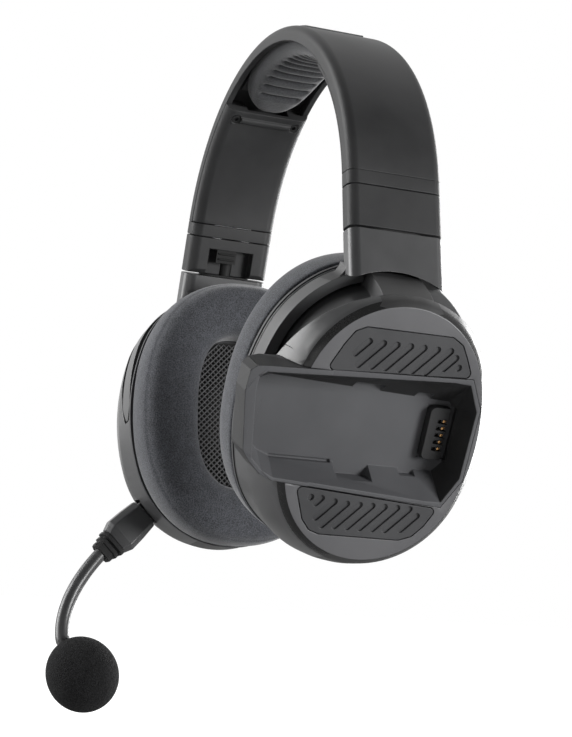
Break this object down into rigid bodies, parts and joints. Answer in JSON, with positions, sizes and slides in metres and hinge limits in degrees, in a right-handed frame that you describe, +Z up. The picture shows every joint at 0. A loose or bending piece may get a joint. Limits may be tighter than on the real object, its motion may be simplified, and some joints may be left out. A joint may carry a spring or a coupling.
{
  "type": "wireless headset",
  "caption": "over-ear wireless headset with padded sprung headband, sliding and swivelling yokes, tilting ear cups, an open battery bay and a plug-in boom microphone",
  "frame": {"origin": "midpoint between the two cup hinges, on the line through both of the wearer's ears", "axes": "+Z up along the wearer's head, -Y the way the wearer looks, +X the wearer's left"},
  "size_m": [0.196, 0.1129, 0.2672],
  "materials": {
    "shell": "dark charcoal moulded plastic, satin",
    "panel": "dark grey moulded plastic, matte",
    "black_plastic": "black moulded plastic",
    "button": "grey moulded plastic, satin",
    "screw": "black oxide steel",
    "steel": "plain steel",
    "pad_fabric": "fine dark knitted cloth over foam",
    "cushion_cover": "soft dark synthetic leather over foam",
    "speaker_cloth": "black woven cloth",
    "gold_contact": "gold-plated spring contacts",
    "circuit_board": "green circuit board",
    "soft_rubber": "black soft rubber",
    "foam": "black open-cell foam"
  },
  "bodies": {
    "headband": {"band_shell": "shell", "crown_plate": "panel", "inner_cover_left": "shell", "inner_cover_right": "shell", "cover_screws": "screw", "pad_base": "black_plastic", "crown_pad": "pad_fabric"},
    "slider_left": {"slider_block_left": "shell", "slider_rail_left": "steel", "cable_clip_left": "black_plastic"},
    "slider_right": {"slider_block_right": "shell", "slider_rail_right": "steel", "cable_clip_right": "black_plastic"},
    "yoke_left": {"yoke_left": "shell", "swivel_post_left": "steel", "post_clip_left": "steel", "hinge_pins_left": "steel"},
    "yoke_right": {"yoke_right": "shell", "swivel_post_right": "steel", "post_clip_right": "steel", "hinge_pins_right": "steel"},
    "cup_left": {"cup_shell_left": "shell", "baffle_left": "panel", "ear_cushion_left": "cushion_cover", "ear_mesh_left": "speaker_cloth", "driver_left": "black_plastic", "battery_bay": "panel", "vent_panel_upper": "panel", "vent_panel_lower": "panel", "contact_block": "black_plastic", "battery_contacts": "gold_contact", "main_board": "circuit_board"},
    "cup_right": {"cup_shell_right": "shell", "face_cap_right": "panel", "baffle_right": "panel", "ear_cushion_right": "cushion_cover", "ear_mesh_right": "speaker_cloth", "driver_right": "black_plastic", "boom_socket": "black_plastic", "control_board": "circuit_board", "button_switches": "black_plastic"},
    "power_button": {"power_button": "button"},
    "volume_up_button": {"volume_up_button": "button"},
    "volume_down_button": {"volume_down_button": "button"},
    "mic_boom": {"boom_plug": "black_plastic", "boom_body": "shell", "strain_relief": "soft_rubber", "boom_tube": "soft_rubber", "mic_capsule": "steel", "windscreen": "foam"}
  },
  "joints": [
    {"name": "extension_left", "type": "slide", "parent": "headband", "child": "slider_left", "axis": [0.2164, 0, -0.9763], "range_m": [0, 0.02]},
    {"name": "extension_right", "type": "slide", "parent": "headband", "child": "slider_right", "axis": [-0.2164, 0, -0.9763], "range_m": [0, 0.02]},
    {"name": "swivel_left", "type": "hinge", "parent": "slider_left", "child": "yoke_left", "pos_m": [0.07904, 0, 0.05878], "axis": [-0.2164, 0, 0.9763], "range_deg": [-15, 90]},
    {"name": "swivel_right", "type": "hinge", "parent": "slider_right", "child": "yoke_right", "pos_m": [-0.07904, 0, 0.05878], "axis": [0.2164, 0, 0.9763], "range_deg": [-90, 15]},
    {"name": "cup_tilt_left", "type": "hinge", "parent": "yoke_left", "child": "cup_left", "pos_m": [0.06268, 0, 0], "axis": [0, 1, 0], "range_deg": [-16.5, 0]},
    {"name": "cup_tilt_right", "type": "hinge", "parent": "yoke_right", "child": "cup_right", "pos_m": [-0.06268, 0, 0], "axis": [0, 1, 0], "range_deg": [-12.5, 4]},
    {"name": "boom_unplug", "type": "slide", "parent": "cup_right", "child": "mic_boom", "axis": [0.0923, -0.7071, -0.7011], "range_m": [0, 0.007]},
    {"name": "power_press", "type": "slide", "parent": "cup_right", "child": "power_button", "axis": [-0.0215, -0.9863, 0.1636], "range_m": [0, 0.0006], "stiffness_N_per_m": 400, "springref_m": -0.0005},
    {"name": "volume_up_press", "type": "slide", "parent": "cup_right", "child": "volume_up_button", "axis": [-0.036, -0.9613, 0.2732], "range_m": [0, 0.0006], "stiffness_N_per_m": 400, "springref_m": -0.0005},
    {"name": "volume_down_press", "type": "slide", "parent": "cup_right", "child": "volume_down_button", "axis": [-0.0633, -0.8746, 0.4807], "range_m": [0, 0.0006], "stiffness_N_per_m": 400, "springref_m": -0.0005}
  ]
}
